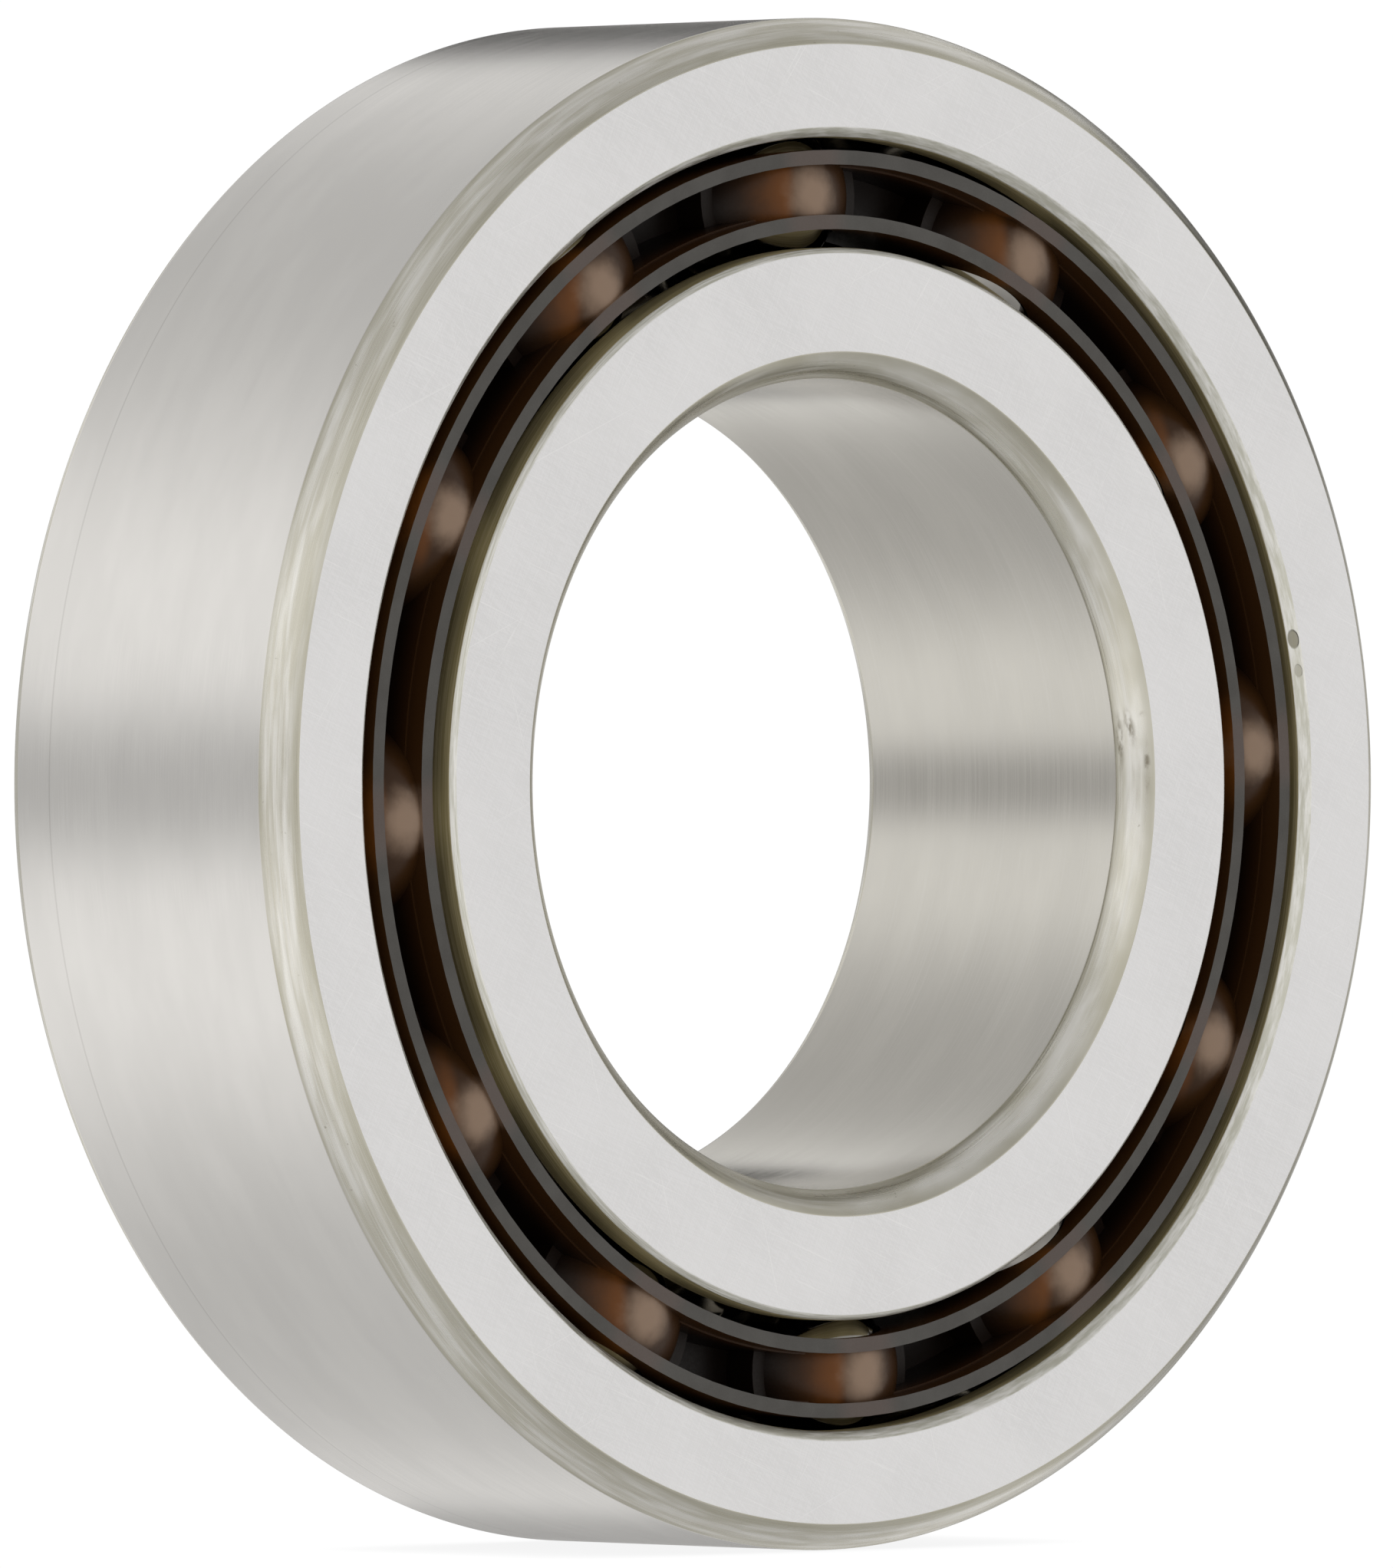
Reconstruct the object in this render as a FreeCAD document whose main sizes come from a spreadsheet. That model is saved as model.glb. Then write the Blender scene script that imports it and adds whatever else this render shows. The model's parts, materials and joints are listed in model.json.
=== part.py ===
"""Double row angular contact ball bearing with two moulded snap cages.

The bearing turns about the Y axis. Its origin is the centre of the bearing, the front
face looks towards -Y, and +Z is up. Sizes are millimetres and angles are degrees.
"""
import FreeCAD, Part
import math
import os
import Sketcher

DIMENSIONS = (
    # alias, value, meaning
    ("outside_diameter", 85.0, "seat in the housing"),
    ("bore_diameter", 45.0, "seat on the shaft"),
    ("bearing_width", 23.0, "over both faces"),
    ("corner_radial", 1.48, "reach of a mounting corner across a face"),
    ("corner_axial", 1.66, "reach of a mounting corner along a seat"),
    ("corner_curve", 3.8, "radius of a mounting corner's arc"),
    ("ball_diameter", 10.319, "thirteen thirty-seconds of an inch"),
    ("balls_per_row", 12, "balls in each row"),
    ("ball_recess", 1.10, "front of a ball behind its face"),
    ("pitch_shift", 0.16, "ball circle outside the middle of the section"),
    ("first_ball_angle", 3.45, "first front ball, from +X towards +Z"),
    ("contact_angle", 25.0, "contact lines meet the axis outside the rows"),
    ("groove_conformity", 0.52, "raceway groove radius over ball diameter"),
    ("groove_clearance", 0.02, "ball to raceway along the contact line"),
    ("outer_shoulder", 1.95, "height of the outer ring's shoulders"),
    ("inner_shoulder", 2.24, "height of the inner ring's shoulders"),
    ("outer_land_chamfer", 0.54, "edge between outer land and face"),
    ("inner_land_chamfer", 0.30, "edge between inner land and face"),
    ("cage_recess", 0.50, "front of a cage behind its face"),
    ("cage_outer_gap", 0.71, "cage to the outer ring's land"),
    ("cage_inner_gap", 1.03, "cage to the inner ring's land"),
    ("rim_thickness", 0.80, "each rim beside the channel"),
    ("rim_step", 0.10, "how far a rim thickens below its lip"),
    ("lip_depth", 1.30, "depth of the thin lip of a rim"),
    ("channel_depth", 3.00, "channel between the rims"),
    ("web_hollow_depth", 5.10, "hollow between two pockets"),
    ("pocket_clearance", 0.12, "ball to pocket"),
    ("pocket_wall", 0.60, "pocket wall beside a hollow"),
    ("dome_wall", 0.45, "thin dome that closes the front of a pocket"),
    ("claw_reach", 2.90, "claw tips past the ball centres"),
    ("claw_thickness", 0.50, "claw where it leaves its pocket's widest place"),
    ("claw_notch_depth", 1.80, "notch between two claws"),
    ("cut_overrun", 1.00, "how far a cut runs past the piece"),
)

doc = FreeCAD.newDocument("double_row_ball_bearing")
sheet = doc.addObject("Spreadsheet::Sheet", "dims")
for row, (alias, number, meaning) in enumerate(DIMENSIONS, start=1):
    sheet.set(f"A{row}", meaning)
    sheet.set(f"B{row}", str(number))
    sheet.setAlias(f"B{row}", alias)
doc.recompute()

# Sizes that follow from the driving ones, as expressions for the sub-parts.
HALF_WIDTH = "dims.bearing_width / 2"
OUTSIDE = "dims.outside_diameter / 2"
BORE = "dims.bore_diameter / 2"
BALL = "dims.ball_diameter / 2"
PITCH = "((dims.outside_diameter + dims.bore_diameter) / 4 + dims.pitch_shift)"
ROW = f"({HALF_WIDTH} - dims.ball_recess - {BALL})"
OUTER_LAND = f"({PITCH} + {BALL} - dims.outer_shoulder)"
INNER_LAND = f"({PITCH} - {BALL} + dims.inner_shoulder)"
GROOVE = "dims.groove_conformity * dims.ball_diameter"
GROOVE_OFFSET = f"({GROOVE} - {BALL} - dims.groove_clearance)"
BALL_SPACING = "(360 / dims.balls_per_row)"

CAGE_OUTER = f"({OUTER_LAND} - dims.cage_outer_gap)"
CAGE_INNER = f"({INNER_LAND} + dims.cage_inner_gap)"
CAGE_FRONT = f"({HALF_WIDTH} - dims.cage_recess)"
CAGE_BACK = f"({ROW} - dims.claw_reach)"
LIP_OUTER = f"({CAGE_OUTER} - dims.rim_thickness)"
LIP_INNER = f"({CAGE_INNER} + dims.rim_thickness)"
CHANNEL_OUTER = f"({LIP_OUTER} - dims.rim_step)"
CHANNEL_INNER = f"({LIP_INNER} + dims.rim_step)"
POCKET = f"({BALL} + dims.pocket_clearance)"
DOME = f"({POCKET} + dims.dome_wall)"


def value(expression):
    """The number that an expression over the spreadsheet gives now."""
    return float(sheet.evalExpression(expression))


BALLS_PER_ROW = round(value("dims.balls_per_row"))


def origin_plane(body, role):
    return next(item for item in body.Origin.OriginFeatures if item.Role == role)


def new_sketch(body, name, role):
    sketch = body.newObject("Sketcher::SketchObject", name)
    sketch.AttachmentSupport = [(origin_plane(body, role), "")]
    sketch.MapMode = "FlatFace"
    return sketch


def bind(sketch, constraint, expression):
    """Adds a constraint whose size follows an expression."""
    index = sketch.addConstraint(constraint)
    sketch.setExpression(f"Constraints[{index}]", expression)


def pin(sketch, geometry, vertex, across, along):
    """Holds a vertex at its distances from the sketch's origin."""
    for kind, expression in (("DistanceX", across), ("DistanceY", along)):
        size = value(expression)
        if size < 0:
            constraint = Sketcher.Constraint(kind, geometry, vertex, -1, 1, -size)
            bind(sketch, constraint, f"-({expression})")
        else:
            constraint = Sketcher.Constraint(kind, -1, 1, geometry, vertex, size)
            bind(sketch, constraint, expression)


def bulging_arc(start, end, radius):
    """The arc from start to end that lies to the right of the straight way."""
    chord = end - start
    left = FreeCAD.Vector(-chord.y, chord.x, 0).normalize()
    reach = math.sqrt(radius ** 2 - (chord.Length / 2) ** 2)
    centre = (start + end) / 2 + left * reach
    first = math.atan2(start.y - centre.y, start.x - centre.x)
    last = math.atan2(end.y - centre.y, end.x - centre.x)
    circle = Part.Circle(centre, FreeCAD.Vector(0, 0, 1), radius)
    return Part.ArcOfCircle(circle, first, last)


def section(body, name, corners):
    """A closed outline in the XY plane, anticlockwise: X is the radius and Y the axis.

    Each corner is (radius, axial place, curve), and curve is the radius of the arc
    that leads on to the next corner, or None for a straight line.
    """
    sketch = new_sketch(body, name, "XY_Plane")
    points = [FreeCAD.Vector(value(x), value(y), 0) for x, y, curve in corners]
    count = len(corners)
    for index, (x, y, curve) in enumerate(corners):
        start = points[index]
        end = points[(index + 1) % count]
        if curve is None:
            sketch.addGeometry(Part.LineSegment(start, end))
        else:
            sketch.addGeometry(bulging_arc(start, end, value(curve)))
    for index, (x, y, curve) in enumerate(corners):
        following = (index + 1) % count
        sketch.addConstraint(Sketcher.Constraint("Coincident", index, 2, following, 1))
        pin(sketch, index, 1, x, y)
        if curve is not None:
            bind(sketch, Sketcher.Constraint("Radius", index, value(curve)), curve)
    return sketch


def turned(body, kind, name, sketch):
    """A full turn of a section about the bearing's axis, added or cut away."""
    feature = body.newObject(kind, name)
    feature.Profile = sketch
    feature.ReferenceAxis = (sketch, ["V_Axis"])
    feature.Angle = 360
    sketch.Visibility = False
    return feature


def cut_raceways(body, centre_radius, centre_axial):
    """The front row's groove, and its mirror image for the rear row."""
    sketch = new_sketch(body, body.Name + "_groove_circle", "XY_Plane")
    centre = FreeCAD.Vector(value(centre_radius), value(centre_axial), 0)
    sketch.addGeometry(Part.Circle(centre, FreeCAD.Vector(0, 0, 1), value(GROOVE)))
    pin(sketch, 0, 3, centre_radius, centre_axial)
    bind(sketch, Sketcher.Constraint("Radius", 0, value(GROOVE)), GROOVE)
    groove = turned(body, "PartDesign::Groove", body.Name + "_front_raceway", sketch)
    mirror = body.newObject("PartDesign::Mirrored", body.Name + "_rear_raceway")
    mirror.Originals = [groove]
    mirror.MirrorPlane = (origin_plane(body, "XZ_Plane"), [""])
    body.Tip = mirror


def make_outer_ring():
    body = doc.addObject("PartDesign::Body", "outer_ring")
    body.Label = "outer_ring"
    face_edge = f"{OUTSIDE} - dims.corner_radial"
    seat_edge = f"{HALF_WIDTH} - dims.corner_axial"
    land_edge = f"{HALF_WIDTH} - dims.outer_land_chamfer"
    land_face = f"{OUTER_LAND} + dims.outer_land_chamfer"
    outline = section(body, "outer_ring_section", (
        (land_face, f"-{HALF_WIDTH}", None),
        (face_edge, f"-{HALF_WIDTH}", "dims.corner_curve"),
        (OUTSIDE, f"-({seat_edge})", None),
        (OUTSIDE, seat_edge, "dims.corner_curve"),
        (face_edge, HALF_WIDTH, None),
        (land_face, HALF_WIDTH, None),
        (OUTER_LAND, land_edge, None),
        (OUTER_LAND, f"-({land_edge})", None),
    ))
    turned(body, "PartDesign::Revolution", "outer_ring_blank", outline)
    cut_raceways(
        body,
        f"{PITCH} - {GROOVE_OFFSET} * cos(dims.contact_angle)",
        f"-({ROW} + {GROOVE_OFFSET} * sin(dims.contact_angle))",
    )
    return body


def make_inner_ring():
    body = doc.addObject("PartDesign::Body", "inner_ring")
    body.Label = "inner_ring"
    face_edge = f"{BORE} + dims.corner_radial"
    seat_edge = f"{HALF_WIDTH} - dims.corner_axial"
    land_edge = f"{HALF_WIDTH} - dims.inner_land_chamfer"
    land_face = f"{INNER_LAND} - dims.inner_land_chamfer"
    outline = section(body, "inner_ring_section", (
        (face_edge, f"-{HALF_WIDTH}", None),
        (land_face, f"-{HALF_WIDTH}", None),
        (INNER_LAND, f"-({land_edge})", None),
        (INNER_LAND, land_edge, None),
        (land_face, HALF_WIDTH, None),
        (face_edge, HALF_WIDTH, "dims.corner_curve"),
        (BORE, seat_edge, None),
        (BORE, f"-({seat_edge})", "dims.corner_curve"),
    ))
    turned(body, "PartDesign::Revolution", "inner_ring_blank", outline)
    cut_raceways(
        body,
        f"{PITCH} + {GROOVE_OFFSET} * cos(dims.contact_angle)",
        f"-({ROW} - {GROOVE_OFFSET} * sin(dims.contact_angle))",
    )
    return body


def arc_about(centre, radius, start, end):
    """The anticlockwise arc about centre from one point to another."""
    first = math.atan2(start.y - centre.y, start.x - centre.x)
    last = math.atan2(end.y - centre.y, end.x - centre.x)
    if last < first:
        last += 2 * math.pi
    circle = Part.Circle(centre, FreeCAD.Vector(0, 0, 1), radius)
    return Part.ArcOfCircle(circle, first, last)


def web_outline(body, name, inner, outer, keep, level):
    """The space between two neighbouring pockets, seen along the axis.

    It lies between two circles about the axis and outside a circle of radius keep
    about each ball. The sketch stands level in front of the bearing's middle plane.
    """
    sketch = new_sketch(body, name, "XZ_Plane")
    sketch.setExpression("AttachmentOffset.Base.z", level)
    sketch.setExpression("AttachmentOffset.Rotation.Angle", f"{BALL_SPACING} / 2")
    half_pitch = math.radians(value(BALL_SPACING) / 2)
    pitch, clear = value(PITCH), value(keep)

    def crossing(radius, side):
        """Where a circle about the axis meets the circle about a ball."""
        swing = math.acos((radius ** 2 + pitch ** 2 - clear ** 2) / (2 * radius * pitch))
        angle = side * (half_pitch - swing)
        return FreeCAD.Vector(radius * math.cos(angle), radius * math.sin(angle), 0)

    axis = FreeCAD.Vector(0, 0, 0)
    upper = FreeCAD.Vector(pitch * math.cos(half_pitch), pitch * math.sin(half_pitch), 0)
    lower = FreeCAD.Vector(upper.x, -upper.y, 0)
    far, near = value(outer), value(inner)
    sketch.addGeometry(arc_about(axis, far, crossing(far, -1), crossing(far, 1)))
    sketch.addGeometry(arc_about(axis, near, crossing(near, -1), crossing(near, 1)))
    sketch.addGeometry(arc_about(upper, clear, crossing(near, 1), crossing(far, 1)))
    sketch.addGeometry(arc_about(lower, clear, crossing(far, -1), crossing(near, -1)))
    for first, first_end, second, second_end in (
        (0, 1, 3, 1), (0, 2, 2, 2), (1, 1, 3, 2), (1, 2, 2, 1), (0, 3, -1, 1), (1, 3, -1, 1),
    ):
        joined = Sketcher.Constraint("Coincident", first, first_end, second, second_end)
        sketch.addConstraint(joined)
    across = f"{PITCH} * cos({BALL_SPACING} / 2)"
    along = f"{PITCH} * sin({BALL_SPACING} / 2)"
    pin(sketch, 2, 3, across, along)
    pin(sketch, 3, 3, across, f"-({along})")
    for index, radius in enumerate((outer, inner, keep, keep)):
        bind(sketch, Sketcher.Constraint("Radius", index, value(radius)), radius)
    return sketch


def sunk(body, name, sketch, depth, towards_front):
    """A pocket from a sketch across the axis."""
    feature = body.newObject("PartDesign::Pocket", name)
    feature.Profile = sketch
    feature.setExpression("Length", depth)
    feature.Reversed = towards_front
    sketch.Visibility = False
    return feature


def ball_shaped(body, kind, name, radius):
    """A sphere about the centre of the ball at +X, added or cut away."""
    sphere = body.newObject(kind, name)
    sphere.AttachmentSupport = [(origin_plane(body, "YZ_Plane"), "")]
    sphere.MapMode = "FlatFace"
    sphere.setExpression("Radius", radius)
    sphere.setExpression("AttachmentOffset.Base.x", f"-{ROW}")
    sphere.setExpression("AttachmentOffset.Base.z", PITCH)
    return sphere


def round_the_axis(body, name, features, turned_sketch):
    """Repeats features at every ball."""
    ring_of = body.newObject("PartDesign::PolarPattern", name)
    ring_of.Originals = features
    ring_of.Axis = (turned_sketch, ["V_Axis"])
    ring_of.Angle = 360
    ring_of.setExpression("Occurrences", "dims.balls_per_row")
    body.Tip = ring_of


def make_cage(label):
    """A snap cage: rims and closed domes in front, claws behind, and a pocket at +X."""
    body = doc.addObject("PartDesign::Body", label)
    body.Label = label
    blank = section(body, label + "_section", (
        (CAGE_INNER, f"-{CAGE_FRONT}", None),
        (CAGE_OUTER, f"-{CAGE_FRONT}", None),
        (CAGE_OUTER, f"-{CAGE_BACK}", None),
        (CAGE_INNER, f"-{CAGE_BACK}", None),
    ))
    turned(body, "PartDesign::Revolution", label + "_blank", blank)
    lip_floor = f"-({CAGE_FRONT} - dims.lip_depth)"
    channel_floor = f"-({CAGE_FRONT} - dims.channel_depth)"
    channel = section(body, label + "_channel_section", (
        (LIP_INNER, f"-{CAGE_FRONT}", None),
        (LIP_OUTER, f"-{CAGE_FRONT}", None),
        (LIP_OUTER, lip_floor, None),
        (CHANNEL_OUTER, lip_floor, None),
        (CHANNEL_OUTER, channel_floor, None),
        (CHANNEL_INNER, channel_floor, None),
        (CHANNEL_INNER, lip_floor, None),
        (LIP_INNER, lip_floor, None),
    ))
    turned(body, "PartDesign::Groove", label + "_channel", channel)

    dome = ball_shaped(body, "PartDesign::AdditiveSphere", label + "_dome", DOME)
    round_the_axis(body, label + "_domes", [dome], blank)
    trim = section(body, label + "_trim_section", (
        (f"{CAGE_INNER} - {DOME}", f"-{CAGE_FRONT}", None),
        (CAGE_INNER, f"-{CAGE_FRONT}", None),
        (CAGE_INNER, f"-{CAGE_BACK}", None),
        (CAGE_OUTER, f"-{CAGE_BACK}", None),
        (CAGE_OUTER, f"-{CAGE_FRONT}", None),
        (f"{CAGE_OUTER} + {DOME}", f"-{CAGE_FRONT}", None),
        (f"{CAGE_OUTER} + {DOME}", DOME, None),
        (f"{CAGE_INNER} - {DOME}", DOME, None),
    ))
    turned(body, "PartDesign::Groove", label + "_trim", trim)

    hollow_outline = web_outline(
        body, label + "_hollow_outline", CHANNEL_INNER, CHANNEL_OUTER,
        f"({POCKET} + dims.pocket_wall)", CAGE_FRONT,
    )
    hollow = sunk(body, label + "_hollow", hollow_outline, "dims.web_hollow_depth", False)
    notch_outline = web_outline(
        body, label + "_notch_outline",
        f"({CAGE_INNER} - dims.cut_overrun)", f"({CAGE_OUTER} + dims.cut_overrun)",
        f"({POCKET} + dims.claw_thickness)", CAGE_BACK,
    )
    notch = sunk(body, label + "_notch", notch_outline, "dims.claw_notch_depth", True)
    pocket = ball_shaped(body, "PartDesign::SubtractiveSphere", label + "_pocket", POCKET)
    round_the_axis(body, label + "_pockets", [hollow, notch, pocket], blank)
    return body


def place_in_front(cage):
    """Turns a cage about the bearing's axis until its pockets hold the front balls."""
    axis = FreeCAD.Vector(0, -1, 0)
    turn = value("dims.first_ball_angle")
    cage.Placement = FreeCAD.Placement(FreeCAD.Vector(), FreeCAD.Rotation(axis, turn))
    cage.setExpression("Placement.Rotation.Angle", "dims.first_ball_angle")


def place_in_rear(cage):
    """Turns a cage over, so that its pockets hold the rear balls."""
    flip = f"(dims.first_ball_angle + {BALL_SPACING} / 2) / 2"
    angle = math.radians(value(flip))
    axis = FreeCAD.Vector(math.cos(angle), 0, math.sin(angle))
    cage.Placement = FreeCAD.Placement(FreeCAD.Vector(), FreeCAD.Rotation(axis, 180))
    cage.setExpression("Placement.Rotation.Axis.x", f"cos({flip})")
    cage.setExpression("Placement.Rotation.Axis.z", f"sin({flip})")


def make_ball(label, angle, row_place):
    ball = doc.addObject("Part::Sphere", label)
    ball.Label = label
    ball.setExpression("Radius", BALL)
    ball.setExpression("Placement.Base.x", f"{PITCH} * cos({angle})")
    ball.setExpression("Placement.Base.y", row_place)
    ball.setExpression("Placement.Base.z", f"{PITCH} * sin({angle})")
    return ball


outer_ring = make_outer_ring()
inner_ring = make_inner_ring()
front_cage = make_cage("front_cage")
rear_cage = make_cage("rear_cage")
place_in_front(front_cage)
place_in_rear(rear_cage)
sub_parts = [outer_ring, inner_ring, front_cage, rear_cage]
for number in range(BALLS_PER_ROW):
    front_angle = f"dims.first_ball_angle + {number} * {BALL_SPACING}"
    rear_angle = f"{front_angle} + {BALL_SPACING} / 2"
    sub_parts.append(make_ball(f"front_ball_{number + 1:02d}", front_angle, f"-{ROW}"))
    sub_parts.append(make_ball(f"rear_ball_{number + 1:02d}", rear_angle, ROW))

doc.recompute()

for item in doc.Objects:
    if "Invalid" in item.State or "Error" in item.State:
        raise RuntimeError(f"{item.Label} did not recompute: {item.State}")

os.makedirs("parts", exist_ok=True)
for sub_part in sub_parts:
    shape = sub_part.Shape
    if shape.isNull() or not shape.isValid() or len(shape.Solids) != 1:
        raise RuntimeError(f"{sub_part.Label} is not one valid solid")
for sub_part in sub_parts:
    sub_part.Shape.exportStep(f"parts/{sub_part.Label}.step")
    print(f"{sub_part.Label}: {sub_part.Shape.Volume:.2f} mm3")
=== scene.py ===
"""The finished double row angular contact ball bearing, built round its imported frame.

The bearing turns about the Y axis and its front face looks towards -Y. Lengths are
metres, and the patterns in the finishes are laid out in millimetres.
"""

import json
import math

import bmesh
import bpy
from mathutils import Matrix, Vector


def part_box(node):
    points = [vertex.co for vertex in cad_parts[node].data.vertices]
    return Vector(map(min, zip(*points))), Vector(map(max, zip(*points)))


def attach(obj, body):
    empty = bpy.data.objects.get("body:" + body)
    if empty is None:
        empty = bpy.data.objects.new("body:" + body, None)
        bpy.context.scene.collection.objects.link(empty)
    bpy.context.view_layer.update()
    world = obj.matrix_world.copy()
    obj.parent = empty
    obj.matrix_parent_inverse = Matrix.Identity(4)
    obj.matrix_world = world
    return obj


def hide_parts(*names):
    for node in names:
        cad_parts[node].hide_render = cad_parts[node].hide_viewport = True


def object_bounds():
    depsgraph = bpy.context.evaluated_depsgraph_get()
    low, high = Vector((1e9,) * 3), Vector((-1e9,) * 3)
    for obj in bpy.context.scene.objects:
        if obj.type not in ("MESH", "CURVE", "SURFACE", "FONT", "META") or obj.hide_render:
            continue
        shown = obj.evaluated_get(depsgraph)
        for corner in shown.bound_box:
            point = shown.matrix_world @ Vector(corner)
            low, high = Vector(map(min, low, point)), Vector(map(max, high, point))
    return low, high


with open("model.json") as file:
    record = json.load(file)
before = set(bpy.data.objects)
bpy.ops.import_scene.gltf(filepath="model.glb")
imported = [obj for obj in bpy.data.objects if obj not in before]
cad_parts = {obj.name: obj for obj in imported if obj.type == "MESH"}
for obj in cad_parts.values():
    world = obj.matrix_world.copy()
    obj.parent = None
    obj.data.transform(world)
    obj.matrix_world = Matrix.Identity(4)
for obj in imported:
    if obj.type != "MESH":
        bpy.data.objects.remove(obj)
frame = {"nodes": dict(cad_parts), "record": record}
cad_low, cad_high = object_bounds()

MM = 0.001

# Sizes read from the frame.
mounts = {mount["name"]: mount for mount in frame["record"]["mounts"]}
OUTSIDE = mounts["housing_seat"]["dims"]["r_mm"] * MM
BORE = mounts["shaft_bore"]["dims"]["r_mm"] * MM
HALF_WIDTH = (cad_high.y - cad_low.y) / 2
first_ball_low, first_ball_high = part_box("front_ball_01")
BALL = (first_ball_high.z - first_ball_low.z) / 2
first_ball = (first_ball_low + first_ball_high) / 2
PITCH = math.hypot(first_ball.x, first_ball.z)
ROW = abs(first_ball.y)
BALLS_PER_ROW = sum(node.startswith("front_ball_") for node in frame["nodes"])
BALL_SPACING = 2 * math.pi / BALLS_PER_ROW
CAGE_FRONT = -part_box("front_cage")[0].y

# Sizes of the ground and turned rings.
CORNER_RADIAL = 1.48 * MM
CORNER_AXIAL = 1.66 * MM
CORNER_CURVE = 3.8 * MM
OUTER_SHOULDER = 1.95 * MM
INNER_SHOULDER = 2.24 * MM
OUTER_LAND = PITCH + BALL - OUTER_SHOULDER
INNER_LAND = PITCH - BALL + INNER_SHOULDER
OUTER_CHAMFER = 0.54 * MM
INNER_CHAMFER = 0.30 * MM
GROOVE_SHARE = 0.52
BALL_CLEARANCE = 0.02 * MM
GROOVE = GROOVE_SHARE * 2 * BALL
GROOVE_OFFSET = GROOVE - BALL - BALL_CLEARANCE
CONTACT_ANGLE = math.radians(25)
EDGE_BREAK = 0.07 * MM
RING_STEPS = 360
ARC_STEPS = 26
CRISP_ANGLE = math.radians(12)
CAGE_CRISP_ANGLE = math.radians(30)
HAIR = 0.004 * MM


# ---------------------------------------------------------------- node helpers

# A colour mix's two inputs and its output, by place.
FIRST_COLOUR, SECOND_COLOUR, MIXED_COLOUR = 6, 7, 2


def feed(tree, socket, given):
    """Puts a value in a socket, or joins another node's output to it."""
    if isinstance(given, bpy.types.NodeSocket):
        tree.links.new(given, socket)
    else:
        socket.default_value = given


def work_out(tree, operation, *given):
    """The result of one sum."""
    node = tree.nodes.new("ShaderNodeMath")
    node.operation = operation
    for socket, value in zip(node.inputs, given):
        feed(tree, socket, value)
    return node.outputs["Value"]


def hypotenuse(tree, first, second):
    """The long side of a right triangle."""
    squares = (work_out(tree, "MULTIPLY", side, side) for side in (first, second))
    return work_out(tree, "SQRT", work_out(tree, "ADD", *squares))


def spread(tree, given, low, high, to_low=0.0, to_high=1.0):
    """A value's place between two limits, with a soft start and end."""
    node = tree.nodes.new("ShaderNodeMapRange")
    node.interpolation_type = "SMOOTHSTEP"
    for name, value in (
        ("Value", given), ("From Min", low), ("From Max", high),
        ("To Min", to_low), ("To Max", to_high),
    ):
        feed(tree, node.inputs[name], value)
    return node.outputs["Result"]


def blended(tree, share, first, second):
    """One colour turning into another."""
    node = tree.nodes.new("ShaderNodeMix")
    node.data_type = "RGBA"
    feed(tree, node.inputs["Factor"], share)
    feed(tree, node.inputs[FIRST_COLOUR], first)
    feed(tree, node.inputs[SECOND_COLOUR], second)
    return node.outputs[MIXED_COLOUR]


def grain(tree, place, scale, detail=2.0, roughness=0.5, distortion=0.0):
    """Cloudy noise round 0.5."""
    node = tree.nodes.new("ShaderNodeTexNoise")
    for name, value in (
        ("Vector", place), ("Scale", scale), ("Detail", detail),
        ("Roughness", roughness), ("Distortion", distortion),
    ):
        feed(tree, node.inputs[name], value)
    return node.outputs["Fac"]


def millimetres(tree):
    """The place on the piece, in millimetres from the bearing's centre."""
    place = tree.nodes.new("ShaderNodeTexCoord").outputs["Object"]
    node = tree.nodes.new("ShaderNodeVectorMath")
    node.operation = "SCALE"
    feed(tree, node.inputs["Vector"], place)
    feed(tree, node.inputs["Scale"], 1 / MM)
    return node.outputs["Vector"]


def split(tree, vector):
    """The three parts of a vector."""
    node = tree.nodes.new("ShaderNodeSeparateXYZ")
    feed(tree, node.inputs["Vector"], vector)
    return node.outputs["X"], node.outputs["Y"], node.outputs["Z"]


def join(tree, x, y, z):
    """A vector from its three parts."""
    node = tree.nodes.new("ShaderNodeCombineXYZ")
    for socket, value in zip(node.inputs, (x, y, z)):
        feed(tree, socket, value)
    return node.outputs["Vector"]


def stretched(tree, place, turn, length, width):
    """Places drawn out along one direction across a face, turned about the axis."""
    node = tree.nodes.new("ShaderNodeMapping")
    node.vector_type = "TEXTURE"
    feed(tree, node.inputs["Vector"], place)
    feed(tree, node.inputs["Rotation"], (0.0, turn, 0.0))
    feed(tree, node.inputs["Scale"], (length, 1.0, width))
    return node.outputs["Vector"]


# How fast the lines change along the axis, against outwards.
ALONG_AXIS = 1.7


def lathe_lines(tree, place, length, pitch):
    """Places drawn out round the axis, as a tool or wheel leaves its marks."""
    x, y, z = split(tree, place)
    along = work_out(tree, "MULTIPLY", y, ALONG_AXIS)
    across = work_out(tree, "ADD", hypotenuse(tree, x, z), along)
    return join(
        tree,
        work_out(tree, "DIVIDE", x, length),
        work_out(tree, "DIVIDE", across, pitch),
        work_out(tree, "DIVIDE", z, length),
    )


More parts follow.
